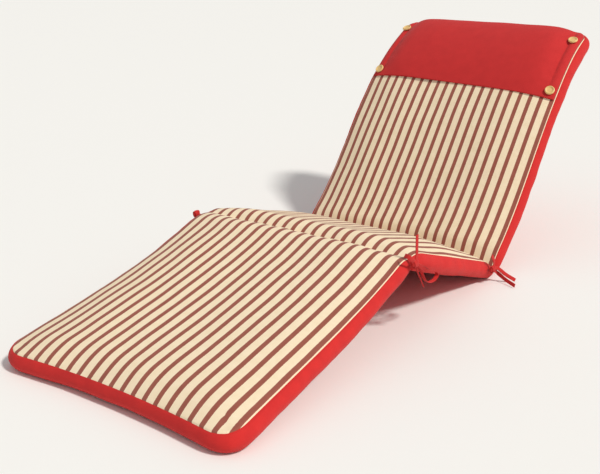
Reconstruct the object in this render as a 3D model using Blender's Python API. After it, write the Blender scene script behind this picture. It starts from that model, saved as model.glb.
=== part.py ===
"""Sun lounger cushion in three sections, with a head pad, four buttons and four ties.

Metres, +Z up. X runs from the foot end to the head end and Y across the cushion.
The origin is on the floor, under the middle of the cushion's length.
"""

import math

import bmesh
import bpy
from mathutils import Vector

# The cushion's cover: a top cloth, an under cloth and a border strip between them.
WIDTH = 0.600
BORDER_HEIGHT = 0.0454
FOOT_CORNER = 0.053
HEAD_CORNER = 0.036
BORDER_BULGE = 0.013
END_CROWN_REACH = 0.085
SIDE_CROWN_REACH = 0.169
UNDER_CROWN = 0.004

# The crown of each section drops to this height towards the folds.
FOLD_CROWN = 0.016
CROWN_CHANGE_REACH = 0.240

# The two folds are sewn through: both cloths are pulled in to a thin web at the hinge depth.
HINGE_DEPTH = 0.019
WEB_THICKNESS = 0.006
TOP_ROLL = 0.054
UNDER_ROLL = 0.016
FOLD_PULL = 0.003
PULL_REACH = 0.060
LEAN_REACH = 0.045

# The foot end is drawn in between its corners, and the leg widens towards it.
FOOT_HOLLOW = 0.018
HOLLOW_REACH = 0.220
FOOT_FLARE = 0.014
HEAD_TAPER = 0.007
HEAD_TAPER_REACH = 0.300

# Sections of the top seam line, foot to head: name, length, rise in degrees, bow of the line
# above its chord, how far the bow leans to the section's far end, and the crown of the top.
SECTIONS = (
    ("leg", 0.664, 13.84, -0.0162, 0.61, 0.021),
    ("seat", 0.464, -20.0, 0.0, 0.0, 0.031),
    ("back", 0.790, 42.0, 0.0326, 1.73, 0.021),
)
LEG, SEAT, BACK = range(len(SECTIONS))
FOOT_X = -0.8430
FOOT_SEAM_Z = 0.0413

# Distances of the cross rows from a free edge and from a fold, and the widest row spacing.
EDGE_ROWS = (0.0, 0.011, 0.023, 0.037, 0.053, 0.072, 0.100, 0.140)
FOLD_ROWS = (0.0, 0.004, 0.009, 0.016, 0.024, 0.036, 0.054, 0.085)
ROW_SPACING = 0.052
BORDER_ROWS = 3

# The head pad lies on the top of the back section, from its lower edge to the head seam.
# A line of stitches leaves a narrow stuffed strip along each side.
PAD_START = 0.514
PAD_SKEW = 0.010
PAD_INSET = 0.003
PAD_GAP = 0.0012
PAD_HEM = 0.004
PAD_CROWN = 0.017
PAD_CROWN_REACH = 0.060
PAD_LOW_REACH = 0.200
PAD_HEAD_REACH = 0.022
STITCH_LINE_Y = 0.272
STRIP_PUFF = 0.005
PAD_ROWS = (0.0, 0.007, 0.016, 0.028, 0.045, 0.070)
PAD_COLUMNS = (0.0, 0.004, 0.008, 0.0125, 0.017, 0.021, 0.025, 0.029, 0.036, 0.046, 0.060, 0.085, 0.125)

# Buttons on the pad's side strips: name and distance along the back section. The profile is
# radius and height, from the middle of the flat back round to the middle of the dished face.
BUTTON_Y = 0.2800
BUTTONS = (
    ("low", 0.536),
    ("top", 0.724),
)
BUTTON_GAP = 0.0014
BUTTON_SEGMENTS = 28
BUTTON_PROFILE = (
    (0.0, 0.0), (0.0115, 0.0), (0.0135, 0.0014), (0.0137, 0.0034), (0.0130, 0.0053),
    (0.0115, 0.0062), (0.0100, 0.0056), (0.0086, 0.0040), (0.0060, 0.0034), (0.0, 0.0032),
)

# Ties on the near side; the far ones are mirrored, the knee one with its hanging strands only.
# Strand points are X, Y and Z from the fold's top corner; the width of the tape lies along the
# strand's own width vector.
TAPE_WIDTH = 0.010
TAPE_THICKNESS = 0.0018
TAPE_STEPS = 4
KNOT_RADII = (0.0125, 0.0065, 0.0105)
KNOT_WRAP_RADIUS = 0.0090
KNOT_WRAP_CORD = 0.0038
KNEE_KNOT = (-0.018, -0.3215, -0.0195)
KNEE_RISING_STRANDS = (   # strand, width vector, points
    ("standing end", (1.0, -0.1, 0.0),
     (KNEE_KNOT, (-0.013, -0.3225, -0.004), (-0.0135, -0.3225, 0.016), (-0.014, -0.3225, 0.046))),
    ("tongue", (0.5, -0.4, 0.8),
     (KNEE_KNOT, (-0.034, -0.3235, -0.006), (-0.044, -0.319, 0.003), (-0.040, -0.306, 0.002))),
)
KNEE_HANGING_STRANDS = (
    ("tail", (0.6, 1.0, 0.3),
     (KNEE_KNOT, (-0.012, -0.323, -0.036), (0.002, -0.323, -0.057), (0.020, -0.323, -0.085))),
    ("loop", (0.0, 1.0, 0.15),
     (KNEE_KNOT, (0.006, -0.3225, -0.043), (0.026, -0.3225, -0.071), (0.045, -0.3225, -0.083),
      (0.068, -0.3225, -0.086), (0.083, -0.3225, -0.080), (0.080, -0.3225, -0.069),
      (0.051, -0.3225, -0.056), (0.020, -0.3215, -0.036), (-0.010, -0.3215, -0.022))),
)
HIP_KNOT = (-0.048, -0.3220, 0.001)
HIP_STRANDS = (
    ("short end", (1.0, 0.0, 0.6),
     (HIP_KNOT, (-0.042, -0.3225, 0.016), (-0.048, -0.3225, 0.028), (-0.058, -0.3225, 0.040))),
    ("upper tail", (0.3, 0.5, 1.0),
     (HIP_KNOT, (-0.026, -0.3255, -0.003), (-0.017, -0.345, -0.019), (-0.005, -0.367, -0.034))),
    ("lower tail", (0.3, 0.2, 1.0),
     (HIP_KNOT, (-0.021, -0.3255, -0.019), (-0.026, -0.350, -0.030), (-0.041, -0.382, -0.0345))),
)


def swell(distance, reach):
    """Height share of filled cloth at a distance from a seam: 0 on the seam, 1 past its reach."""
    share = min(max(distance / reach, 0.0), 1.0)
    return 1.0 - (1.0 - share) ** 2.2


def smooth_step(share):
    share = min(max(share, 0.0), 1.0)
    return share * share * (3.0 - 2.0 * share)


def direction(degrees):
    angle = math.radians(degrees)
    return Vector((math.cos(angle), 0.0, math.sin(angle)))


def upward(tangent):
    """The normal of the seam line in its own plane, on the cushion's top side."""
    return Vector((-tangent.z, 0.0, tangent.x))


def section_starts():
    corner = Vector((FOOT_X, 0.0, FOOT_SEAM_Z))
    starts = []
    for _, length, rise, _, _, _ in SECTIONS:
        starts.append(corner.copy())
        corner += direction(rise) * length
    return starts


STARTS = section_starts()


def seam_line(section, distance):
    """Point and unit tangent of the bowed top seam line."""
    _, length, rise, bow, skew, _ = SECTIONS[section]
    chord = direction(rise)
    normal = upward(chord)
    share = distance / length
    leaning = 1.0 + skew * (2.0 * share - 1.0)
    height = 4.0 * bow * share * (1.0 - share) * leaning
    slope = 4.0 * bow * ((1.0 - 2.0 * share) * leaning + 2.0 * skew * share * (1.0 - share))
    point = STARTS[section] + chord * distance + normal * height
    return point, (chord * length + normal * slope).normalized()


def half_fold(section):
    """Tangent of half the turn from this section to the next; positive where the fold closes on top."""
    _, before = seam_line(section, SECTIONS[section][1])
    _, after = seam_line(section + 1, 0.0)
    turn = math.atan2(after.z, after.x) - math.atan2(before.z, before.x)
    return math.tan(turn / 2.0)


HALF_FOLDS = (half_fold(0), half_fold(1))


def fold_distance(section, distance):
    """How far a place on a section is from the nearest fold."""
    length = SECTIONS[section][1]
    if section == LEG:
        return length - distance
    if section == BACK:
        return distance
    return min(distance, length - distance)


def free_end_distance(section, distance):
    """How far a place on a section is from the foot end or the head end."""
    if section == LEG:
        return distance
    if section == BACK:
        return SECTIONS[BACK][1] - distance
    return END_CROWN_REACH


def place(section, distance, across, height):
    """World position at a height over the top seam line, mitred where two sections fold."""
    point, tangent = seam_line(section, distance)
    lean = 0.0
    if section != LEG:
        lean += HALF_FOLDS[section - 1] * (1.0 - smooth_step(distance / LEAN_REACH))
    if section != BACK:
        to_fold = SECTIONS[section][1] - distance
        lean -= HALF_FOLDS[section] * (1.0 - smooth_step(to_fold / LEAN_REACH))
    world = point + (upward(tangent) + tangent * lean) * height
    world.y = across
    return world


def fold_share(section, distance, roll):
    """0 in a fold, 1 where the section has its full thickness."""
    return math.sin(math.pi / 2.0 * min(fold_distance(section, distance) / roll, 1.0))


def crown_share(section, distance, across):
    side = swell(WIDTH / 2.0 - abs(across), SIDE_CROWN_REACH)
    return side * swell(free_end_distance(section, distance), END_CROWN_REACH)


def crown(section, distance):
    """Height of the top cloth's swelling at its middle."""
    full = SECTIONS[section][5]
    share = smooth_step(fold_distance(section, distance) / CROWN_CHANGE_REACH)
    return FOLD_CROWN + (full - FOLD_CROWN) * share


def top_height(section, distance, across):
    in_fold = -HINGE_DEPTH + WEB_THICKNESS / 2.0
    full = crown(section, distance) * crown_share(section, distance, across)
    return in_fold + (full - in_fold) * fold_share(section, distance, TOP_ROLL)


def under_height(section, distance, across):
    in_fold = -HINGE_DEPTH - WEB_THICKNESS / 2.0
    full = -BORDER_HEIGHT - UNDER_CROWN * crown_share(section, distance, across)
    return in_fold + (full - in_fold) * fold_share(section, distance, UNDER_ROLL)


def width_share(section, distance):
    """Share of the plain width that is left: drawn in at the folds, wider at the foot end."""
    near_fold = 1.0 - smooth_step(fold_distance(section, distance) / PULL_REACH)
    extra = -FOLD_PULL * near_fold
    if section == LEG:
        extra += FOOT_FLARE * (1.0 - distance / SECTIONS[LEG][1]) ** 2
    if section == BACK:
        to_head = SECTIONS[BACK][1] - distance
        extra -= HEAD_TAPER * (1.0 - smooth_step(to_head / HEAD_TAPER_REACH))
    return 1.0 + extra / (WIDTH / 2.0)


def rounded_plan(from_end, across, half_width, radius):
    """Moves a point of a square plan onto the plan with rounded corners.

    Returns its new distance from the end, its new place across, and the outward direction
    (from_end, across) at the outline.
    """
    side = math.copysign(1.0, across)
    past_end = radius - from_end
    past_side = abs(across) - (half_width - radius)
    if past_end > 0.0 and past_side > 0.0:
        ring = max(past_end, past_side)
        length = math.hypot(past_end, past_side)
        outward = (-past_end / length, side * past_side / length)
        from_end = radius + outward[0] * ring
        across = side * (half_width - radius) + outward[1] * ring
        return from_end, across, outward
    if past_side >= radius - 1e-6:
        return from_end, across, (0.0, side)
    return from_end, across, (-1.0, 0.0)


def rows_between(first_rows, length, last_rows):
    """Row distances along a length: close together at both ends, evenly spaced between."""
    start = first_rows[-1]
    stop = length - last_rows[-1]
    count = max(1, math.ceil((stop - start) / ROW_SPACING))
    middle = [start + (stop - start) * i / count for i in range(1, count)]
    return list(first_rows) + middle + [length - row for row in reversed(last_rows)]


def cell_box(along, across, rows):
    """A closed box of grid cells; each vertex holds its cell numbers as coordinates."""
    box = bmesh.new()
    bmesh.ops.create_grid(box, x_segments=along, y_segments=across, size=0.5)
    for vertex in box.verts:
        vertex.co.x = round((vertex.co.x + 0.5) * along)
        vertex.co.y = round((vertex.co.y + 0.5) * across)
    raised = bmesh.ops.extrude_face_region(box, geom=box.faces[:])["geom"]
    for item in raised:
        if isinstance(item, bmesh.types.BMVert):
            item.co.z = rows
    uprights = [edge for edge in box.edges if abs(edge.verts[0].co.z - edge.verts[1].co.z) > 0.5]
    if rows > 1:
        bmesh.ops.subdivide_edges(box, edges=uprights, cuts=rows - 1, use_grid_fill=True)
    return box


def finish_mesh(name, shape, material, collection, smooth_angle=50.0):
    bmesh.ops.recalc_face_normals(shape, faces=shape.faces[:])
    mesh = bpy.data.meshes.new(name)
    shape.to_mesh(mesh)
    shape.free()
    mesh.materials.append(material)
    mesh.shade_smooth()
    mesh.set_sharp_from_angle(angle=math.radians(smooth_angle))
    piece = bpy.data.objects.new(name, mesh)
    collection.objects.link(piece)
    return piece


def make_material(name, color, roughness):
    material = bpy.data.materials.new(name)
    material.use_nodes = True
    surface = material.node_tree.nodes["Principled BSDF"]
    surface.inputs["Base Color"].default_value = (*color, 1.0)
    surface.inputs["Roughness"].default_value = roughness
    surface.inputs["Metallic"].default_value = 0.0
    return material


def cushion_rows():
    """Cross rows of the whole cushion as pairs of section and distance along it."""
    rows = []
    for section, (_, length, _, _, _, _) in enumerate(SECTIONS):
        first = EDGE_ROWS if section == LEG else FOLD_ROWS[1:]
        last = EDGE_ROWS if section == BACK else FOLD_ROWS
        rows += [(section, distance) for distance in rows_between(first, length, last)]
    return rows


def body_point(section, distance, across, up, lift=0.0):
    """World position of a place on the cushion's skin; up runs from 0 underneath to 1 on top."""
    high = top_height(section, distance, across)
    low = under_height(section, distance, across)
    height = low + (high - low) * up + lift
    if section == SEAT:
        bulge = BORDER_BULGE * 4.0 * up * (1.0 - up) * fold_share(section, distance, UNDER_ROLL)
        across += math.copysign(bulge, across)
        return place(section, distance, across * width_share(section, distance), height)
    at_foot = section == LEG
    length = SECTIONS[section][1]
    from_end = distance if at_foot else length - distance
    corner = FOOT_CORNER if at_foot else HEAD_CORNER
    from_end, across, outward = rounded_plan(from_end, across, WIDTH / 2.0, corner)
    bulge = BORDER_BULGE * 4.0 * up * (1.0 - up) * fold_share(section, distance, UNDER_ROLL)
    from_end += outward[0] * bulge
    across += outward[1] * bulge
    if at_foot:
        between_corners = 1.0 - (2.0 * across / WIDTH) ** 2
        from_end += FOOT_HOLLOW * between_corners * (1.0 - smooth_step(from_end / HOLLOW_REACH))
    distance = from_end if at_foot else length - from_end
    return place(section, distance, across * width_share(section, distance), height)


def make_cushion(material, collection):
    """One filled body: crowned top, border strip, flatter underside and two sewn folds."""
    along = cushion_rows()
    across = [row - WIDTH / 2.0 for row in rows_between(EDGE_ROWS, WIDTH, EDGE_ROWS)]
    body = cell_box(len(along) - 1, len(across) - 1, BORDER_ROWS)
    for vertex in body.verts:
        row, column, level = (round(value) for value in vertex.co)
        section, distance = along[row]
        vertex.co = body_point(section, distance, across[column], level / BORDER_ROWS)
    cut = bmesh.ops.bisect_plane(
        body, geom=body.verts[:] + body.edges[:] + body.faces[:], dist=1e-6,
        plane_co=(0.0, 0.0, 0.0), plane_no=(0.0, 0.0, 1.0), clear_inner=True)
    rims = [edge for edge in cut["geom_cut"] if isinstance(edge, bmesh.types.BMEdge)]
    bmesh.ops.holes_fill(body, edges=rims)
    return finish_mesh("cushion", body, material, collection)


def pad_thickness(distance, across):
    """Thickness of the stuffed pad: a hem all round, a swelled middle and a strip on each side."""
    end = SECTIONS[BACK][1] - PAD_INSET
    ends = swell(distance - PAD_START, PAD_LOW_REACH) * swell(end - distance, PAD_HEAD_REACH)
    past_stitches = abs(across) - STITCH_LINE_Y
    if past_stitches > 0.0:
        share = past_stitches / (WIDTH / 2.0 - PAD_INSET - STITCH_LINE_Y)
        return PAD_HEM + STRIP_PUFF * ends * math.sin(math.pi * min(share, 1.0))
    return PAD_HEM + PAD_CROWN * ends * swell(-past_stitches, PAD_CROWN_REACH)


def pad_point(distance, across, level):
    """World position on the pad: level 0 on its underside and 1 on its face."""
    lift = PAD_GAP + pad_thickness(distance, across) * level
    share = (distance - PAD_START) / (SECTIONS[BACK][1] - PAD_START)
    distance += PAD_SKEW * (2.0 * across / WIDTH) * (1.0 - share)
    return body_point(BACK, distance, across, 1.0, lift)


def make_head_pad(material, collection):
    """One stuffed pad over the head end, following the crown of the back section."""
    length = SECTIONS[BACK][1] - PAD_INSET - PAD_START
    span = WIDTH - 2.0 * PAD_INSET
    along = [PAD_START + row for row in rows_between(PAD_ROWS, length, PAD_ROWS)]
    across = [column - span / 2.0 for column in rows_between(PAD_COLUMNS, span, PAD_COLUMNS)]
    pad = cell_box(len(along) - 1, len(across) - 1, 1)
    for vertex in pad.verts:
        row, column, level = (round(value) for value in vertex.co)
        vertex.co = pad_point(along[row], across[column], level)
    return finish_mesh("head_pad", pad, material, collection)


def turned(profile, segments):
    """A closed turned solid from radius and height pairs that start and end on the axis."""
    solid = bmesh.new()
    first = solid.verts.new((0.0, 0.0, profile[0][1]))
    last = solid.verts.new((0.0, 0.0, profile[-1][1]))
    rings = []
    for radius, height in profile[1:-1]:
        angles = [2.0 * math.pi * i / segments for i in range(segments)]
        rings.append([solid.verts.new((radius * math.cos(a), radius * math.sin(a), height)) for a in angles])
    for i in range(segments):
        after = (i + 1) % segments
        solid.faces.new((first, rings[0][after], rings[0][i]))
        solid.faces.new((last, rings[-1][i], rings[-1][after]))
        for inner, outer in zip(rings, rings[1:]):
            solid.faces.new((inner[i], inner[after], outer[after], outer[i]))
    return solid


def make_button(name, distance, side, material, collection):
    """A dished button lying on the pad's side strip, square to its face."""
    across = side * BUTTON_Y
    reach = 0.010
    centre = pad_point(distance, across, 1)
    along = pad_point(distance + reach, across, 1) - pad_point(distance - reach, across, 1)
    sideways = pad_point(distance, across + reach, 1) - pad_point(distance, across - reach, 1)
    normal = along.cross(sideways).normalized()
    turn = normal.to_track_quat("Z", "Y").to_matrix().to_4x4()
    button = turned(BUTTON_PROFILE, BUTTON_SEGMENTS)
    bmesh.ops.transform(button, matrix=turn, verts=button.verts)
    bmesh.ops.translate(button, vec=centre + normal * BUTTON_GAP, verts=button.verts)
    return finish_mesh(name, button, material, collection)


def smooth_path(points, steps):
    """Points of a smooth curve through the given points."""
    ends = [points[0] * 2.0 - points[1]] + list(points) + [points[-1] * 2.0 - points[-2]]
    path = []
    for p0, p1, p2, p3 in zip(ends, ends[1:], ends[2:], ends[3:]):
        for i in range(steps):
            s = i / steps
            path.append(0.5 * (2.0 * p1 + (p2 - p0) * s + (2.0 * p0 - 5.0 * p1 + 4.0 * p2 - p3) * s ** 2
                               + (3.0 * p1 - p0 - 3.0 * p2 + p3) * s ** 3))
    return path + [points[-1]]


def tape(points, width_vector):
    """A closed flat tape along a smooth path."""
    path = smooth_path(points, TAPE_STEPS)
    strip = bmesh.new()
    sections = []
    for i, point in enumerate(path):
        tangent = (path[min(i + 1, len(path) - 1)] - path[max(i - 1, 0)]).normalized()
        width = (width_vector - tangent * width_vector.dot(tangent)).normalized()
        face = tangent.cross(width)
        corners = []
        for across, through in ((-1, -1), (1, -1), (1, 1), (-1, 1)):
            offset = width * (across * TAPE_WIDTH / 2.0) + face * (through * TAPE_THICKNESS / 2.0)
            corners.append(strip.verts.new(point + offset))
        sections.append(corners)
    strip.faces.new(sections[0])
    strip.faces.new(reversed(sections[-1]))
    for before, after in zip(sections, sections[1:]):
        for i in range(4):
            k = (i + 1) % 4
            strip.faces.new((before[i], after[i], after[k], before[k]))
    return strip


def knot_core(centre):
    """The pulled-tight lump of the knot."""
    lump = bmesh.new()
    bmesh.ops.create_icosphere(lump, subdivisions=3, radius=1.0)
    bmesh.ops.scale(lump, vec=KNOT_RADII, verts=lump.verts)
    bmesh.ops.translate(lump, vec=centre, verts=lump.verts)
    return lump


def knot_wrap(centre, side):
    """The turn of tape round the middle of the knot."""
    wrap = bmesh.new()
    sections = []
    segments = 16
    for i in range(segments):
        angle = 2.0 * math.pi * i / segments
        outward = Vector((0.25 * math.cos(angle), side * 0.55 * math.sin(angle), math.cos(angle)))
        ring = []
        for k in range(8):
            turn = 2.0 * math.pi * k / 8
            offset = outward * (0.6 * KNOT_WRAP_CORD * math.cos(turn))
            offset += Vector((KNOT_WRAP_CORD * math.sin(turn), 0.0, -0.25 * KNOT_WRAP_CORD * math.sin(turn)))
            ring.append(wrap.verts.new(centre + outward * KNOT_WRAP_RADIUS + offset))
        sections.append(ring)
    for i in range(segments):
        before = sections[i]
        after = sections[(i + 1) % segments]
        for k in range(8):
            m = (k + 1) % 8
            wrap.faces.new((before[k], after[k], after[m], before[m]))
    return wrap


def make_tie(name, corner, strands, side, material, collection, cutters):
    """One tape sewn to the border at a fold and knotted: its strands and knot as one solid."""
    def world(offset):
        return Vector((corner.x + offset[0], side * -offset[1], corner.z + offset[2]))

    centre = world(strands[0][2][0])
    tie = finish_mesh(name, knot_core(centre), material, collection)
    pieces = [("knot wrap", knot_wrap(centre, side))]
    for strand, width_vector, offsets in strands:
        width = Vector((width_vector[0], side * -width_vector[1], width_vector[2]))
        pieces.append((strand, tape([world(offset) for offset in offsets], width)))
    for strand, shape in pieces:
        piece = finish_mesh(f"{name} {strand}", shape, material, cutters)
        piece.hide_render = True
        piece.display_type = "WIRE"
        union = tie.modifiers.new(strand, "BOOLEAN")
        union.operation = "UNION"
        union.solver = "EXACT"
        union.object = piece
    return tie


def main():
    for item in list(bpy.data.objects):
        bpy.data.objects.remove(item, do_unlink=True)
    parts = bpy.data.collections.new("sun_lounger_cushion")
    cutters = bpy.data.collections.new("cutters")
    bpy.context.scene.collection.children.link(parts)
    bpy.context.scene.collection.children.link(cutters)

    striped = make_material("striped_cover", (0.83, 0.72, 0.52), 0.85)
    red = make_material("red_cloth", (0.48, 0.03, 0.03), 0.85)
    wood = make_material("button_wood", (0.72, 0.52, 0.26), 0.45)

    make_cushion(striped, parts)
    make_head_pad(red, parts)
    near_knee = KNEE_RISING_STRANDS + KNEE_HANGING_STRANDS
    for side, side_name, knee in ((-1.0, "near", near_knee), (1.0, "far", KNEE_HANGING_STRANDS)):
        for name, distance in BUTTONS:
            make_button(f"button_{side_name}_{name}", distance, side, wood, parts)
        make_tie(f"tie_knee_{side_name}", STARTS[SEAT], knee, side, red, parts, cutters)
        make_tie(f"tie_hip_{side_name}", STARTS[BACK], HIP_STRANDS, side, red, parts, cutters)


main()
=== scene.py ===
import math

import bmesh
import bpy
import numpy as np
from mathutils import Matrix, Vector, noise


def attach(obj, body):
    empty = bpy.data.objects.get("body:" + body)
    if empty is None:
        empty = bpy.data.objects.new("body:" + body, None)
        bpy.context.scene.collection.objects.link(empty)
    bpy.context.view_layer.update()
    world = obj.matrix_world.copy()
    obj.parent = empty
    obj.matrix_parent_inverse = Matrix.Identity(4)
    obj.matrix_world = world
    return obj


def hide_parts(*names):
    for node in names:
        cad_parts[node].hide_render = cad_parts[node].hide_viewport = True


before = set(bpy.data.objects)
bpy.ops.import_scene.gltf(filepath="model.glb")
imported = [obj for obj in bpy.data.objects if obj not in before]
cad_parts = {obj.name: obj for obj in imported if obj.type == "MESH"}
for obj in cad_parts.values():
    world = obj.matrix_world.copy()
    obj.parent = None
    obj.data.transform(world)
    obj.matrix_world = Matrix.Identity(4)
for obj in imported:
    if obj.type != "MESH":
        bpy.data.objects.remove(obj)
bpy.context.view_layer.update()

# The cushion's cover. Striped canvas on top, plain red canvas round the border and underneath,
# cut in one length and sewn through at the knee and at the hip, over a soft foam filling.
# The top cloth swells between its seams, and both folds pull it down to the stitches.
WIDTH = 0.600
BORDER_HEIGHT = 0.0454
FOOT_CORNER = 0.053
HEAD_CORNER = 0.036
BORDER_BULGE = 0.013
END_CROWN_REACH = 0.085
SIDE_CROWN_REACH = 0.169
UNDER_CROWN = 0.004
FOLD_CROWN = 0.016
CROWN_CHANGE_REACH = 0.240
HINGE_DEPTH = 0.019
WEB_THICKNESS = 0.006
TOP_ROLL = 0.054
UNDER_ROLL = 0.016
FOLD_PULL = 0.003
PULL_REACH = 0.060
LEAN_REACH = 0.045
FOOT_HOLLOW = 0.018
HOLLOW_REACH = 0.220
FOOT_FLARE = 0.014
HEAD_TAPER = 0.007
HEAD_TAPER_REACH = 0.300
SECTIONS = (   # name, length, rise in degrees, bow of the seam line, skew of the bow, crown
    ("leg", 0.664, 13.84, -0.0162, 0.61, 0.021),
    ("seat", 0.464, -20.0, 0.0, 0.0, 0.031),
    ("back", 0.790, 42.0, 0.0326, 1.73, 0.021),
)
LEG, SEAT, BACK = range(len(SECTIONS))
FOOT_SEAM_Z = 0.0413
CLOTH_CELL = 0.012
SEAM_ROWS = (0.0, 0.003, 0.008, 0.016)
BORDER_LEVELS = (0.0, 0.07, 0.22, 0.41, 0.59, 0.78, 0.93, 1.0)
FOOT_X = -0.8430


def swell(distance, reach):
    return 1.0 - (1.0 - np.clip(distance / reach, 0.0, 1.0)) ** 2.2


def smooth_step(share):
    share = np.clip(share, 0.0, 1.0)
    return share * share * (3.0 - 2.0 * share)


def section_starts():
    x, z = FOOT_X, FOOT_SEAM_Z
    starts = []
    for _, length, rise, _, _, _ in SECTIONS:
        starts.append((x, z))
        x += math.cos(math.radians(rise)) * length
        z += math.sin(math.radians(rise)) * length
    return starts


STARTS = section_starts()


def seam_line(section, distance):
    """Place and direction, in X and Z, of the top seam of a section."""
    _, length, rise, bow, skew, _ = SECTIONS[section]
    run, climb = math.cos(math.radians(rise)), math.sin(math.radians(rise))
    share = distance / length
    leaning = 1.0 + skew * (2.0 * share - 1.0)
    height = 4.0 * bow * share * (1.0 - share) * leaning
    slope = 4.0 * bow * ((1.0 - 2.0 * share) * leaning + 2.0 * skew * share * (1.0 - share)) / length
    place = np.array((STARTS[section][0] + run * distance - climb * height,
                      STARTS[section][1] + climb * distance + run * height))
    heading = np.array((run - climb * slope, climb + run * slope))
    return place, heading / np.hypot(*heading)


def half_fold(section):
    """Tangent of half the turn at the fold after a section."""
    before = seam_line(section, SECTIONS[section][1])[1]
    after = seam_line(section + 1, 0.0)[1]
    return math.tan((math.atan2(after[1], after[0]) - math.atan2(before[1], before[0])) / 2.0)


HALF_FOLDS = (half_fold(LEG), half_fold(SEAT))


def fold_distance(section, distance):
    length = SECTIONS[section][1]
    return {LEG: length - distance, SEAT: np.minimum(distance, length - distance), BACK: distance}[section]


def end_distance(section, distance):
    length = SECTIONS[section][1]
    return {LEG: distance, SEAT: distance * 0.0 + HOLLOW_REACH, BACK: length - distance}[section]


def cut_round(section, distance, across):
    """Moves places of a square-cornered section onto its round-cornered cut.

    Also gives the outward direction, along and across, of the places that lie on the outline.
    """
    side = np.where(across < 0.0, -1.0, 1.0)
    on_side = np.abs(across) > WIDTH / 2.0 - 1e-6
    if section == SEAT:
        return distance, across, distance * 0.0, np.where(on_side, side, 0.0)
    corner = FOOT_CORNER if section == LEG else HEAD_CORNER
    from_end = end_distance(section, distance)
    past_end = corner - from_end
    past_side = np.abs(across) - (WIDTH / 2.0 - corner)
    in_corner = (past_end > 0.0) & (past_side > 0.0)
    ring = np.maximum(past_end, past_side)
    reach = np.maximum(np.hypot(past_end, past_side), 1e-9)
    out_end = np.where(in_corner, -past_end / reach, np.where(on_side, 0.0, -1.0))
    out_side = np.where(in_corner, side * past_side / reach, np.where(on_side, side, 0.0))
    from_end = np.where(in_corner, corner + out_end * ring, from_end)
    across = np.where(in_corner, side * (WIDTH / 2.0 - corner) + out_side * ring, across)
    outline = ring >= corner - 1e-6
    foot = section == LEG
    along = from_end if foot else SECTIONS[section][1] - from_end
    out_along = np.where(outline, out_end if foot else -out_end, 0.0)
    return along, across, out_along, np.where(outline, out_side, 0.0)


def cover_place(section, distance, across, up, lift=0.0):
    """Places on the cover, from the underside (up 0) to the top cloth (up 1), raised by lift."""
    distance, across, up, lift = np.broadcast_arrays(
        *(np.asarray(value, float) for value in (distance, across, up, lift)))
    length, full_crown = SECTIONS[section][1], SECTIONS[section][5]
    from_fold = fold_distance(section, distance)
    from_end = end_distance(section, distance)

    crowned = swell(WIDTH / 2.0 - np.abs(across), SIDE_CROWN_REACH) * swell(from_end, END_CROWN_REACH)
    crown = FOLD_CROWN + (full_crown - FOLD_CROWN) * smooth_step(from_fold / CROWN_CHANGE_REACH)
    top_share = np.sin(math.pi / 2.0 * np.clip(from_fold / TOP_ROLL, 0.0, 1.0))
    under_share = np.sin(math.pi / 2.0 * np.clip(from_fold / UNDER_ROLL, 0.0, 1.0))
    top_web = -HINGE_DEPTH + WEB_THICKNESS / 2.0
    under_web = -HINGE_DEPTH - WEB_THICKNESS / 2.0
    high = top_web + (crown * crowned - top_web) * top_share
    low = under_web + (-BORDER_HEIGHT - UNDER_CROWN * crowned - under_web) * under_share
    height = low + (high - low) * up + lift
    bulge = BORDER_BULGE * 4.0 * up * (1.0 - up) * under_share

    distance, across, out_along, out_across = cut_round(section, distance, across)
    distance = distance + out_along * bulge
    across = across + out_across * bulge
    if section == LEG:
        between_corners = 1.0 - (2.0 * across / WIDTH) ** 2
        distance = distance + FOOT_HOLLOW * between_corners * (1.0 - smooth_step(distance / HOLLOW_REACH))

    extra = -FOLD_PULL * (1.0 - smooth_step(from_fold / PULL_REACH))
    if section == LEG:
        extra = extra + FOOT_FLARE * (1.0 - distance / length) ** 2
    if section == BACK:
        extra = extra - HEAD_TAPER * (1.0 - smooth_step((length - distance) / HEAD_TAPER_REACH))
    across = across * (1.0 + extra / (WIDTH / 2.0))

    (x, z), (tx, tz) = seam_line(section, distance)
    lean = 0.0
    if section != LEG:
        lean = lean + HALF_FOLDS[section - 1] * (1.0 - smooth_step(distance / LEAN_REACH))
    if section != BACK:
        lean = lean - HALF_FOLDS[section] * (1.0 - smooth_step((length - distance) / LEAN_REACH))
    return np.stack((x + (-tz + tx * lean) * height, across, z + (tx + tz * lean) * height), axis=-1)


def rows_over(length, close_rows, cell):
    """Row distances over a length: close together at both seams, even between."""
    span = length - 2.0 * close_rows[-1]
    count = math.ceil(span / cell)
    middle = [close_rows[-1] + span * i / count for i in range(1, count)]
    return np.array(list(close_rows) + middle + [length - row for row in reversed(close_rows)])


def outline_cells(rows, columns):
    """Grid places round the edge of a cloth, in order."""
    first = [(0, c) for c in range(columns)]
    second = [(r, columns - 1) for r in range(1, rows)]
    third = [(rows - 1, c) for c in range(columns - 2, -1, -1)]
    fourth = [(r, 0) for r in range(rows - 2, 0, -1)]
    return first + second + third + fourth


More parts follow.
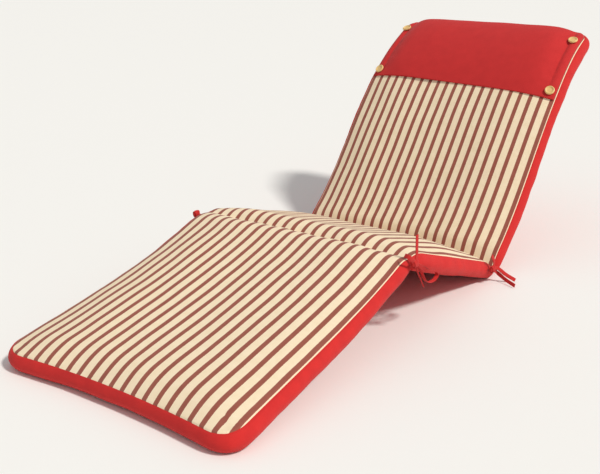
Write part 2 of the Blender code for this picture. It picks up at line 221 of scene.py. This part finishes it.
def sewn_shell(name, top, under, border, cut, levels, border_drop):
    """A closed cover from a top cloth, an under cloth and the border strip between them.

    Every face corner keeps its place on the flat cut cloth, across and along it in metres, in
    the attribute "cut", and every point holds 1 in "seam" where it lies in a seam.
    """
    rows, columns = top.shape[:2]
    edge = outline_cells(rows, columns)
    points = np.concatenate((top.reshape(-1, 3), under.reshape(-1, 3), border.reshape(-1, 3)))
    top_index = np.arange(rows * columns).reshape(rows, columns)
    under_index = top_index + rows * columns
    first_border = 2 * rows * columns

    def border_index(level, k):
        row, column = edge[k % len(edge)]
        if level == 0:
            return under_index[row, column]
        if level == len(levels) - 1:
            return top_index[row, column]
        return first_border + (level - 1) * len(edge) + k % len(edge)

    faces, cuts, cloth = [], [], []
    for r in range(rows - 1):
        for c in range(columns - 1):
            corners = ((r, c), (r, c + 1), (r + 1, c + 1), (r + 1, c))
            flat = [(*cut[i, j], 0.0) for i, j in corners]
            faces.append([top_index[i, j] for i, j in corners])
            faces.append([under_index[i, j] for i, j in reversed(corners)])
            cuts += flat + flat[::-1]
            cloth += [0, 1]
    round_edge = np.zeros(len(edge) + 1)
    for k in range(len(edge)):
        a = top[edge[k]]
        b = top[edge[(k + 1) % len(edge)]]
        round_edge[k + 1] = round_edge[k] + np.linalg.norm(b - a)
    for level in range(len(levels) - 1):
        for k in range(len(edge)):
            faces.append([border_index(level, k), border_index(level + 1, k),
                          border_index(level + 1, k + 1), border_index(level, k + 1)])
            low, high = levels[level] * border_drop, levels[level + 1] * border_drop
            cuts += [(low, round_edge[k], 1.0), (high, round_edge[k], 1.0),
                     (high, round_edge[k + 1], 1.0), (low, round_edge[k + 1], 1.0)]
            cloth.append(2)

    mesh = bpy.data.meshes.new(name)
    mesh.from_pydata(points.tolist(), [], faces)
    mesh.update()
    place = mesh.attributes.new("cut", "FLOAT_VECTOR", "CORNER")
    place.data.foreach_set("vector", np.array(cuts, np.float32).ravel())
    mesh.polygons.foreach_set("material_index", np.array(cloth, np.int32))
    seam = np.zeros(len(points), np.float32)
    seam[[top_index[cell] for cell in edge]] = 1.0
    seam[[under_index[cell] for cell in edge]] = 1.0
    mesh.attributes.new("seam", "FLOAT", "POINT").data.foreach_set("value", seam)
    mesh.shade_smooth()
    piece = bpy.data.objects.new(name, mesh)
    bpy.context.scene.collection.objects.link(piece)
    shape = bmesh.new()
    shape.from_mesh(mesh)
    bmesh.ops.recalc_face_normals(shape, faces=shape.faces[:])
    shape.to_mesh(mesh)
    shape.free()
    return piece


across_columns = rows_over(WIDTH, SEAM_ROWS, CLOTH_CELL) - WIDTH / 2.0
cover_rows, cover_cut = [], []
travelled = 0.0
for section, (_, length, _, _, _, _) in enumerate(SECTIONS):
    distances = rows_over(length, SEAM_ROWS, CLOTH_CELL)
    if section != LEG:
        distances = distances[1:]
    for distance in distances:
        cover_rows.append((section, distance))
        along, across, _, _ = cut_round(section, across_columns * 0.0 + distance, across_columns)
        cover_cut.append(np.stack((across + WIDTH / 2.0, along + travelled), axis=-1))
    travelled += length

top_cloth = np.array([cover_place(s, d, across_columns, 1.0) for s, d in cover_rows])
under_cloth = np.array([cover_place(s, d, across_columns, 0.0) for s, d in cover_rows])
cover_edge = outline_cells(len(cover_rows), len(across_columns))
border_strip = np.array([
    [cover_place(*cover_rows[row], across_columns[column], level) for row, column in cover_edge]
    for level in BORDER_LEVELS[1:-1]])
cushion_cover = sewn_shell("cushion_cover", top_cloth, under_cloth, border_strip, np.array(cover_cut),
                           BORDER_LEVELS, BORDER_HEIGHT)


def points_of(mesh):
    places = np.empty(len(mesh.vertices) * 3, np.float32)
    mesh.vertices.foreach_get("co", places)
    return places.reshape(-1, 3).astype(float)


def normals_of(mesh):
    normals = np.empty(len(mesh.vertices) * 3, np.float32)
    mesh.vertex_normals.foreach_get("vector", normals)
    return normals.reshape(-1, 3).astype(float)


def set_points(mesh, points):
    mesh.vertices.foreach_set("co", points.astype(np.float32).ravel())
    mesh.update()


def weight_of(mesh, name):
    values = np.empty(len(mesh.vertices), np.float32)
    mesh.attributes[name].data.foreach_get("value", values)
    return values.astype(float)


def finer(piece, levels):
    """Turns a piece into its subdivided mesh, keeping the places on the cut cloth straight."""
    rounding = piece.modifiers.new("finer", "SUBSURF")
    rounding.levels = levels
    rounding.render_levels = levels
    rounding.uv_smooth = "NONE"
    evaluated = piece.evaluated_get(bpy.context.evaluated_depsgraph_get())
    smooth = bpy.data.meshes.new_from_object(evaluated)
    piece.modifiers.clear()
    piece.data = smooth
    smooth.shade_smooth()


def ripple(points, wave, seed):
    """Soft uneven waves of about the given length, from -1 to 1."""
    shift = Vector((seed * 7.31, seed * 3.17, seed * 5.93))
    return np.array([noise.noise(Vector(p) / wave + shift) for p in points])


def settle_on_floor(points, reach=0.006):
    """Flattens what would pass the floor, softly, over a small height."""
    low = points[:, 2] < reach
    points[low, 2] = reach * np.exp((points[low, 2] - reach) / reach)
    return points


def fold_nearness(points, reach):
    """1 at a fold line, 0 from a reach away, by place along the cushion."""
    near = np.zeros(len(points))
    for section in (SEAT, BACK):
        x, z = STARTS[section]
        away = np.hypot(points[:, 0] - x, points[:, 2] - z + HINGE_DEPTH)
        near = np.maximum(near, 1.0 - smooth_step(away / reach))
    return near


# How far the stitches draw the seams in, and how far the puckers reach from an edge or a fold.
SEAM_DRAW = 0.0016
EDGE_PUCKER_REACH = 0.030
FOLD_PUCKER_REACH = 0.070
BULGED_EDGE_Y = 0.306

finer(cushion_cover, 1)
cover = cushion_cover.data
places, normals = points_of(cover), normals_of(cover)
seam = weight_of(cover, "seam")
edge_away = np.minimum(
    BULGED_EDGE_Y - np.abs(places[:, 1]),
    np.minimum(places[:, 0] - places[:, 0].min(), places[:, 0].max() - places[:, 0]))
near_edge = np.exp(-np.clip(edge_away, 0.0, 1.0) / EDGE_PUCKER_REACH)
along_seam = places * np.array((1.0, 0.35, 1.0))
pucker = 0.0006 * ripple(along_seam, 0.022, 1) + 0.0011 * ripple(along_seam, 0.052, 2)
broad = 0.0024 * ripple(places, 0.150, 3) + 0.0012 * ripple(places, 0.070, 4)
fold_pucker = 0.0022 * ripple(places * np.array((0.3, 1.0, 0.3)), 0.028, 5)
move = (broad + pucker * near_edge) * (1.0 - seam)
move += fold_pucker * fold_nearness(places, FOLD_PUCKER_REACH) - SEAM_DRAW * seam ** 2
set_points(cover, settle_on_floor(places + normals * move[:, None]))


def linear(code):
    """Linear colour of an sRGB hex code, with alpha."""
    channels = [int(code[i:i + 2], 16) / 255.0 for i in (1, 3, 5)]
    curved = [c / 12.92 if c <= 0.04045 else ((c + 0.055) / 1.055) ** 2.4 for c in channels]
    return (*curved, 1.0)


def add_node(tree, kind, links=None, **settings):
    """Adds a node; links gives each input, by name or number, a value or another node's output."""
    made = tree.nodes.new("ShaderNode" + kind)
    for name, value in settings.items():
        setattr(made, name, value)
    for key, value in (links or {}).items():
        if isinstance(value, bpy.types.NodeSocket):
            tree.links.new(value, made.inputs[key])
        else:
            made.inputs[key].default_value = value
    return made


def new_surface(name, roughness, ior, sheen=0.0, sheen_roughness=0.5):
    """A new material with a plain shader; its colour and bump are linked afterwards."""
    material = bpy.data.materials.new(name)
    material.use_nodes = True
    shader = material.node_tree.nodes["Principled BSDF"]
    shader.inputs["Roughness"].default_value = roughness
    shader.inputs["IOR"].default_value = ior
    shader.inputs["Sheen Weight"].default_value = sheen
    shader.inputs["Sheen Roughness"].default_value = sheen_roughness
    return material, material.node_tree, shader


# Canvas threads are about 0.6 mm apart, too fine to show in the render, so they are drawn at 1.6 mm.
THREAD_PITCH = 0.0016


def add_weave(tree, cut):
    """Height of a plain weave: lengthwise and crosswise threads going over each other."""
    parts = add_node(tree, "SeparateXYZ", {0: cut})
    waves = []
    for axis in (0, 1):
        phase = add_node(tree, "Math", {0: parts.outputs[axis], 1: math.pi / THREAD_PITCH},
                         operation="MULTIPLY")
        waves.append(add_node(tree, "Math", {0: phase.outputs[0]}, operation="SINE").outputs[0])
    crossing = add_node(tree, "Math", {0: waves[0], 1: waves[1]}, operation="MULTIPLY")
    return add_node(tree, "Math", {0: crossing.outputs[0]}, operation="ABSOLUTE").outputs[0]


def striped_canvas():
    """Yarn-dyed cotton canvas: matt, slightly uneven cream with narrow brick stripes lengthwise."""
    material, tree, shader = new_surface("striped_cotton_canvas", 0.92, 1.47, 0.10)
    cut = add_node(tree, "Attribute", attribute_name="cut").outputs["Vector"]
    parts = add_node(tree, "SeparateXYZ", {0: cut})
    jitter = add_node(tree, "TexNoise", {"Vector": cut, "Scale": 420.0, "Detail": 1.0})
    wobble = add_node(tree, "MapRange", {0: jitter.outputs[0], 3: -0.0005, 4: 0.0005})
    across = add_node(tree, "Math", {0: parts.outputs[0], 1: wobble.outputs[0]}, operation="ADD")
    shifted = add_node(tree, "Math", {0: across.outputs[0], 1: STRIPE_START}, operation="SUBTRACT")
    turns = add_node(tree, "Math", {0: shifted.outputs[0], 1: STRIPE_PITCH}, operation="DIVIDE")
    share = add_node(tree, "Math", {0: turns.outputs[0]}, operation="FRACT")
    from_middle = add_node(tree, "Math", {0: share.outputs[0], 1: STRIPE_SHARE / 2.0}, operation="SUBTRACT")
    away = add_node(tree, "Math", {0: from_middle.outputs[0]}, operation="ABSOLUTE")
    dark = add_node(tree, "MapRange", {0: away.outputs[0], 1: STRIPE_SHARE / 2.0 - 0.015,
                                       2: STRIPE_SHARE / 2.0 + 0.015, 3: 1.0, 4: 0.0})
    slub = add_node(tree, "TexNoise", {"Vector": cut, "Scale": 60.0, "Detail": 3.0})
    cream = add_node(tree, "MixRGB", {0: slub.outputs[0], 1: linear("#F3DDB8"), 2: linear("#FFEDD0")})
    brick = add_node(tree, "MixRGB", {0: slub.outputs[0], 1: linear("#8E4A3C"), 2: linear("#A65E4E")})
    striped = add_node(tree, "MixRGB", {0: dark.outputs[0], 1: cream.outputs[0], 2: brick.outputs[0]})
    weave = add_weave(tree, cut)
    shade = add_node(tree, "MapRange", {0: weave, 3: 0.94, 4: 1.03})
    coloured = add_node(tree, "MixRGB", {0: 1.0, 1: striped.outputs[0], 2: shade.outputs[0]},
                        blend_type="MULTIPLY")
    bump = add_node(tree, "Bump", {"Strength": 0.25, "Distance": 0.0006, "Height": weave})
    tree.links.new(coloured.outputs[0], shader.inputs["Base Color"])
    tree.links.new(bump.outputs[0], shader.inputs["Normal"])
    return material


def red_canvas(name, light, dark):
    """Piece-dyed cotton canvas: matt brick red, a little darker where the dye took more."""
    material, tree, shader = new_surface(name, 0.90, 1.47, 0.04)
    cut = add_node(tree, "Attribute", attribute_name="cut").outputs["Vector"]
    dye = add_node(tree, "TexNoise", {"Vector": cut, "Scale": 35.0, "Detail": 4.0})
    red = add_node(tree, "MixRGB", {0: dye.outputs[0], 1: linear(dark), 2: linear(light)})
    weave = add_weave(tree, cut)
    shade = add_node(tree, "MapRange", {0: weave, 3: 0.90, 4: 1.05})
    coloured = add_node(tree, "MixRGB", {0: 1.0, 1: red.outputs[0], 2: shade.outputs[0]},
                        blend_type="MULTIPLY")
    bump = add_node(tree, "Bump", {"Strength": 0.25, "Distance": 0.0006, "Height": weave})
    tree.links.new(coloured.outputs[0], shader.inputs["Base Color"])
    tree.links.new(bump.outputs[0], shader.inputs["Normal"])
    return material


# 21 stripes across, a good third of the pitch wide; the first one starts 2 mm from the near seam.
STRIPE_PITCH = 0.0292
STRIPE_SHARE = 0.38
STRIPE_START = 0.0020
border_canvas = red_canvas("red_cotton_canvas", "#DE2A26", "#C21F20")
for surface in (striped_canvas(), border_canvas, border_canvas):
    cover.materials.append(surface)

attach(cushion_cover, "root")
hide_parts("cushion")


# The head pad. A separate stuffed case of the same red canvas, laid over the head end and held by
# the buttons; a stitch line down each side leaves a narrow stuffed strip outside it.
PAD_START = 0.514
PAD_SKEW = 0.010
PAD_INSET = 0.003
PAD_GAP = 0.0012
PAD_HEM = 0.004
PAD_CROWN = 0.017
PAD_CROWN_REACH = 0.060
PAD_LOW_REACH = 0.200
PAD_HEAD_REACH = 0.022
STITCH_LINE_Y = 0.272
STRIP_PUFF = 0.005
PAD_SEAM_ROWS = (0.0, 0.002, 0.006, 0.012)
PAD_CELL = 0.010
PAD_COLUMNS = (0.0, 0.002, 0.006, 0.011, 0.016, 0.020, 0.023, 0.025, 0.027, 0.031, 0.037, 0.045)


def pad_thickness(distance, across):
    end = SECTIONS[BACK][1] - PAD_INSET
    ends = swell(distance - PAD_START, PAD_LOW_REACH) * swell(end - distance, PAD_HEAD_REACH)
    past_stitches = np.abs(across) - STITCH_LINE_Y
    share = np.clip(past_stitches / (WIDTH / 2.0 - PAD_INSET - STITCH_LINE_Y), 0.0, 1.0)
    strip = STRIP_PUFF * ends * np.sin(math.pi * share)
    middle = PAD_CROWN * ends * swell(-past_stitches, PAD_CROWN_REACH)
    return PAD_HEM + np.where(past_stitches > 0.0, strip, middle)


def pad_place(distance, across, level):
    lift = PAD_GAP + pad_thickness(distance, across) * level
    share = (distance - PAD_START) / (SECTIONS[BACK][1] - PAD_START)
    skewed = distance + PAD_SKEW * (2.0 * across / WIDTH) * (1.0 - share)
    return cover_place(BACK, skewed, across, 1.0, lift)


pad_rows = PAD_START + rows_over(SECTIONS[BACK][1] - PAD_INSET - PAD_START, PAD_SEAM_ROWS, PAD_CELL)
pad_columns = rows_over(WIDTH - 2.0 * PAD_INSET, PAD_COLUMNS, PAD_CELL) - (WIDTH / 2.0 - PAD_INSET)
pad_face = np.array([pad_place(row, pad_columns, 1.0) for row in pad_rows])
pad_back = np.array([pad_place(row, pad_columns, 0.0) for row in pad_rows])
pad_edge = outline_cells(len(pad_rows), len(pad_columns))
PAD_LEVELS = (0.0, 0.5, 1.0)
pad_side = np.array([[pad_place(pad_rows[r], pad_columns[c], 0.5) for r, c in pad_edge]])
pad_cut = np.stack(np.meshgrid(pad_columns, pad_rows), axis=-1)
head_pad = sewn_shell("stuffed_head_pad", pad_face, pad_back, pad_side, pad_cut, PAD_LEVELS, PAD_HEM)
finer(head_pad, 1)
pad_mesh = head_pad.data
places, normals = points_of(pad_mesh), normals_of(pad_mesh)
stitch_away = np.abs(np.abs(places[:, 1]) - STITCH_LINE_Y * 0.985)
near_stitches = np.exp(-stitch_away / 0.016)
upward = smooth_step((normals[:, 2] - 0.2) / 0.4)
move = 0.0016 * ripple(places, 0.090, 11) + 0.0014 * near_stitches * ripple(places, 0.018, 12)
set_points(pad_mesh, places + normals * (move * upward)[:, None])
pad_canvas = red_canvas("red_cotton_canvas_of_pad", "#D42A2A", "#C22223")
for _ in range(3):
    pad_mesh.materials.append(pad_canvas)
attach(head_pad, "root")
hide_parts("head_pad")


# The buttons. Turned boxwood, oiled: a round rim and a dished middle with four holes, sewn
# through the pad's side strips with two crossing turns of thread.
def boxwood():
    """Turned boxwood: pale gold, close grain, with the soft shine of oil."""
    material, tree, shader = new_surface("oiled_boxwood", 0.42, 1.50)
    place = add_node(tree, "TexCoord").outputs["Object"]
    grain = add_node(tree, "TexNoise", {"Vector": place, "Scale": 500.0, "Detail": 3.0})
    wood = add_node(tree, "MixRGB", {0: grain.outputs[0], 1: linear("#D9AE66"), 2: linear("#F2D395")})
    bump = add_node(tree, "Bump", {"Strength": 0.15, "Distance": 0.0003, "Height": grain.outputs[0]})
    tree.links.new(wood.outputs[0], shader.inputs["Base Color"])
    tree.links.new(bump.outputs[0], shader.inputs["Normal"])
    return material


wood = boxwood()
for button in ("button_near_low", "button_near_top", "button_far_low", "button_far_top"):
    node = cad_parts[button]
    node.data.materials.clear()
    node.data.materials.append(wood)


# The ties. Flat red cotton tapes, each sewn to the border at a fold and pulled into a knot, with
# the ends hanging free. Strand points are X, Y and Z from the fold's top corner.
TAPE_WIDTH = 0.010
TAPE_THICKNESS = 0.0016
TAPE_STEPS = 10
TAPE_SECTION = (   # across and through, as shares of half the width and half the thickness
    (-1.0, 0.0), (-0.86, 1.0), (-0.30, 0.8), (0.30, 0.8), (0.86, 1.0),
    (1.0, 0.0), (0.86, -1.0), (0.30, -0.8), (-0.30, -0.8), (-0.86, -1.0),
)
KNOT_RADII = (0.0105, 0.0050, 0.0088)
KNOT_TURNS = (   # tilt of the turn in degrees, its shift along the knot, tape width
    (12.0, -0.0034, 0.0078), (-16.0, 0.0040, 0.0070), (62.0, 0.0, 0.0062),
)
KNEE_KNOT = (-0.018, -0.3215, -0.0195)
KNEE_RISING_STRANDS = (   # width vector, points
    ((1.0, -0.1, 0.0), (KNEE_KNOT, (-0.013, -0.3225, -0.004), (-0.0135, -0.3225, 0.016),
                        (-0.014, -0.3225, 0.046))),
    ((0.5, -0.4, 0.8), (KNEE_KNOT, (-0.034, -0.3235, -0.006), (-0.044, -0.319, 0.003),
                        (-0.040, -0.308, 0.003))),
)
KNEE_HANGING_STRANDS = (
    ((0.6, 1.0, 0.3), (KNEE_KNOT, (-0.012, -0.323, -0.036), (0.002, -0.323, -0.057),
                       (0.020, -0.323, -0.085))),
    ((0.0, 1.0, 0.15), (KNEE_KNOT, (0.006, -0.3225, -0.043), (0.026, -0.3225, -0.071),
                        (0.045, -0.3225, -0.083), (0.068, -0.3225, -0.086), (0.083, -0.3225, -0.080),
                        (0.080, -0.3225, -0.069), (0.051, -0.3225, -0.056), (0.020, -0.3215, -0.036),
                        (-0.010, -0.3215, -0.022))),
)
HIP_KNOT = (-0.048, -0.3220, 0.001)
HIP_STRANDS = (
    ((1.0, 0.0, 0.6), (HIP_KNOT, (-0.042, -0.3225, 0.016), (-0.048, -0.3225, 0.028),
                       (-0.058, -0.3225, 0.040))),
    ((0.3, 0.5, 1.0), (HIP_KNOT, (-0.026, -0.3255, -0.003), (-0.017, -0.345, -0.019),
                       (-0.005, -0.367, -0.034))),
    ((0.3, 0.2, 1.0), (HIP_KNOT, (-0.021, -0.3255, -0.019), (-0.026, -0.350, -0.030),
                       (-0.041, -0.382, -0.0345))),
)


def smooth_path(points, steps):
    """Points of a smooth curve through the given points."""
    ends = [2.0 * points[0] - points[1], *points, 2.0 * points[-1] - points[-2]]
    path = []
    for p0, p1, p2, p3 in zip(ends, ends[1:], ends[2:], ends[3:]):
        for s in np.arange(steps) / steps:
            path.append(0.5 * (2.0 * p1 + (p2 - p0) * s + (2.0 * p0 - 5.0 * p1 + 4.0 * p2 - p3) * s ** 2
                               + (3.0 * p1 - p0 - 3.0 * p2 + p3) * s ** 3))
    return np.array(path + [points[-1]])


def add_tape(shape, cut, path, width_vector, width, closed=False):
    """Adds a tape along a path to a mesh under construction and returns the tape's length."""
    count, sides = len(path), len(TAPE_SECTION)
    rings, along = [], 0.0
    for i in range(count):
        before, after = (path[i - 1], path[(i + 1) % count]) if closed else (
            path[max(i - 1, 0)], path[min(i + 1, count - 1)])
        tangent = (after - before) / np.linalg.norm(after - before)
        vector = np.asarray(width_vector if np.ndim(width_vector) == 1 else width_vector[i], float)
        flat = vector - tangent * (vector @ tangent)
        flat /= np.linalg.norm(flat)
        through = np.cross(tangent, flat)
        if i:
            along += np.linalg.norm(path[i] - path[i - 1])
        ring = [shape.verts.new(path[i] + flat * (a * width / 2.0) + through * (t * TAPE_THICKNESS / 2.0))
                for a, t in TAPE_SECTION]
        rings.append((ring, along))
    pairs = list(zip(rings, rings[1:])) + ([(rings[-1], rings[0])] if closed else [])
    for (first, start), (last, stop) in pairs:
        for k in range(sides):
            m = (k + 1) % sides
            face = shape.faces.new((first[k], last[k], last[m], first[m]))
            places = ((k, start), (k, stop), (m, stop), (m, start))
            for loop, (side, distance) in zip(face.loops, places):
                loop[cut] = (TAPE_SECTION[side][0] * width / 2.0, distance, 0.0)
    if not closed:
        shape.faces.new(rings[0][0])
        shape.faces.new(rings[-1][0][::-1])
    return along


def make_tie(node, corner, strands, side, canvas):
    """One knotted tape with its strands, as a single piece in place of a node."""
    shape = bmesh.new()
    cut = shape.loops.layers.float_vector.new("cut")
    mirror = np.array((1.0, side, 1.0))
    base = np.array((corner[0], 0.0, corner[1]))
    centre = base + np.array(strands[0][1][0]) * mirror
    length = 0.0
    for width_vector, offsets in strands:
        path = smooth_path([base + np.array(offset) * mirror for offset in offsets], TAPE_STEPS)
        length += add_tape(shape, cut, path, np.array(width_vector) * mirror, TAPE_WIDTH)
    angles = np.linspace(0.0, 2.0 * math.pi, 28, endpoint=False)
    for tilt, shift, width in KNOT_TURNS:
        lean = math.radians(tilt)
        axis = np.array((math.cos(lean), 0.0, math.sin(lean)))
        rising = np.array((-math.sin(lean), 0.0, math.cos(lean)))
        outward = np.array((0.0, -side, 0.0))
        turn = [centre + axis * shift + rising * (KNOT_RADII[2] * math.cos(a))
                + outward * (KNOT_RADII[1] * math.sin(a)) for a in angles]
        length += add_tape(shape, cut, np.array(turn), axis, width, closed=True)
    core = bmesh.ops.create_icosphere(shape, subdivisions=3, radius=1.0)["verts"]
    bmesh.ops.scale(shape, vec=KNOT_RADII, verts=core)
    for vertex in core:
        vertex.co *= 1.0 + 0.07 * noise.noise(vertex.co * 260.0)
    bmesh.ops.translate(shape, vec=centre, verts=core)
    bmesh.ops.recalc_face_normals(shape, faces=shape.faces[:])
    mesh = bpy.data.meshes.new(f"{node}_tape")
    shape.to_mesh(mesh)
    shape.free()
    mesh.shade_smooth()
    mesh.materials.append(canvas)
    tie = bpy.data.objects.new(f"{node}_tape", mesh)
    bpy.context.scene.collection.objects.link(tie)
    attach(tie, "root")
    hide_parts(node)


tape_canvas = red_canvas("red_cotton_tape", "#D42E2B", "#BE2422")
near_knee = KNEE_RISING_STRANDS + KNEE_HANGING_STRANDS
make_tie("tie_knee_near", STARTS[SEAT], near_knee, 1.0, tape_canvas)
make_tie("tie_hip_near", STARTS[BACK], HIP_STRANDS, 1.0, tape_canvas)
make_tie("tie_knee_far", STARTS[SEAT], KNEE_HANGING_STRANDS, -1.0, tape_canvas)
make_tie("tie_hip_far", STARTS[BACK], HIP_STRANDS, -1.0, tape_canvas)


# The studio: a plain pale floor, even light all round, a soft key light from above the near side,
# and the camera at the photograph's angle.
bpy.context.scene.view_settings.view_transform = "Standard"
bpy.ops.mesh.primitive_plane_add(size=40.0, location=(0.0, 0.0, 0.0))
floor = bpy.context.object
floor.name = "studio_floor"
paper = bpy.data.materials.new("pale_paper_floor")
paper.use_nodes = True
paper.node_tree.nodes["Principled BSDF"].inputs["Base Color"].default_value = linear("#F6F6F4")
paper.node_tree.nodes["Principled BSDF"].inputs["Roughness"].default_value = 0.9
floor.data.materials.append(paper)

world = bpy.data.worlds.new("studio_light")
bpy.context.scene.world = world
world.use_nodes = True
world.node_tree.nodes["Background"].inputs["Color"].default_value = linear("#FFFFFF")
world.node_tree.nodes["Background"].inputs["Strength"].default_value = 0.43

KEY_FROM = Vector((0.02, -0.66, 0.75))
key = bpy.data.lights.new("key_light", "SUN")
key.energy = 2.4
key.angle = math.radians(8.0)
key.color = linear("#FFFBF4")[:3]
key_holder = bpy.data.objects.new("key_light", key)
key_holder.rotation_euler = KEY_FROM.to_track_quat("Z", "Y").to_euler()
bpy.context.scene.collection.objects.link(key_holder)

IMAGE_WIDTH = 600
FOCAL_PIXELS = 939.8
YAW, PITCH, ROLL = (math.radians(angle) for angle in (36.499, 18.785, 0.558))
CAMERA_PLACE = Vector((-1.9135, -1.2653, 0.8995))
forward = Vector((math.cos(YAW) * math.cos(PITCH), math.sin(YAW) * math.cos(PITCH), -math.sin(PITCH)))
right = Vector((math.sin(YAW), -math.cos(YAW), 0.0))
down = forward.cross(right)
right, down = (right * math.cos(ROLL) + down * math.sin(ROLL), down * math.cos(ROLL) - right * math.sin(ROLL))
lens = bpy.data.cameras.new("camera")
lens.sensor_width = 36.0
lens.lens = FOCAL_PIXELS * lens.sensor_width / IMAGE_WIDTH
camera = bpy.data.objects.new("camera", lens)
turn = Matrix((right, -down, -forward)).transposed().to_4x4()
camera.matrix_world = Matrix.Translation(CAMERA_PLACE) @ turn
bpy.context.scene.collection.objects.link(camera)
bpy.context.scene.camera = camera
